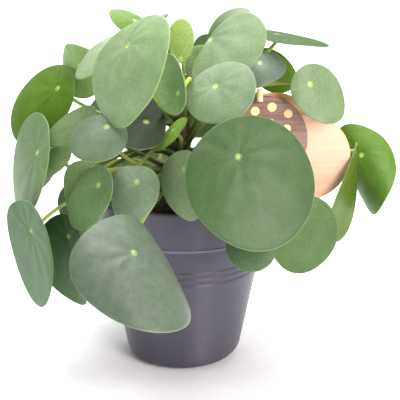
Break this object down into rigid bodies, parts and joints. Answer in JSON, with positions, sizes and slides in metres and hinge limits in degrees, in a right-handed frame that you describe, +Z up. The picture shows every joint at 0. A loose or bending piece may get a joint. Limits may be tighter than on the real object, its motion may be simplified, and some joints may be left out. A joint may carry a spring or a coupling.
{
  "type": "potted chinese money plant",
  "caption": "Bushy house plant with round coin-like leaves on long stalks, in a tapering plastic nursery pot with soil and a small ornament of wooden discs on a stick.",
  "frame": {"origin": "middle of the pot's flat underside, on the surface that the pot stands on", "axes": "+Z up along the pot's axis; -Y is the show side, with the ornament to the right at +X"},
  "size_m": [0.256, 0.2515, 0.2309],
  "materials": {
    "pot_plastic": "anthracite, semi-matt moulded",
    "peat": null,
    "stem_bark": "brown corky stem",
    "leaf": null,
    "brown_stained_wood": "brown stained, satin",
    "peach_stained_wood": "pale peach stained, satin",
    "pale_wood": "bare pale wood"
  },
  "bodies": {
    "root": {"leaf_back_centre": "leaf", "leaf_back_left_high": "leaf", "leaf_back_left_low": "leaf", "leaf_back_left_middle": "leaf", "leaf_back_left_outer": "leaf", "leaf_back_low": "leaf", "leaf_back_middle": "leaf", "leaf_back_right_high": "leaf", "leaf_back_right_low": "leaf", "leaf_back_right_middle": "leaf", "leaf_centre_crescent": "leaf", "leaf_centre_left_pale": "leaf", "leaf_centre_left_shaded": "leaf", "leaf_centre_right_pale": "leaf", "leaf_centre_upper": "leaf", "leaf_crown_back_sliver": "leaf", "leaf_crown_centre_narrow": "leaf", "leaf_crown_far_left": "leaf", "leaf_crown_left_large": "leaf", "leaf_crown_left_pale": "leaf", "leaf_crown_right_behind": "leaf", "leaf_crown_right_large": "leaf", "leaf_crown_young_upright": "leaf", "leaf_front_centre": "leaf", "leaf_front_centre_left": "leaf", "leaf_front_left_folded": "leaf", "leaf_front_right_largest": "leaf", "leaf_front_under": "leaf", "leaf_left_inner_behind": "leaf", "leaf_left_inner_oval": "leaf", "leaf_left_inner_small": "leaf", "leaf_left_lower_inner": "leaf", "leaf_left_lower_long": "leaf", "leaf_left_middle_inner": "leaf", "leaf_left_middle_long": "leaf", "leaf_left_middle_low": "leaf", "leaf_left_upper_curled": "leaf", "leaf_left_upper_outer": "leaf", "leaf_right_edge_on": "leaf", "leaf_right_far": "leaf", "leaf_right_lower": "leaf", "leaf_right_round": "leaf", "leaf_right_top_level": "leaf", "leaf_right_upper_dark": "leaf", "leaf_right_upper_grey": "leaf", "main_stem": "stem_bark", "ornament_middle_disc": "peach_stained_wood", "ornament_peg": "pale_wood", "ornament_rear_disc": "peach_stained_wood", "ornament_spotted_disc": "brown_stained_wood", "ornament_stick": "pale_wood", "pot": "pot_plastic", "soil": "peat"}
  },
  "joints": []
}
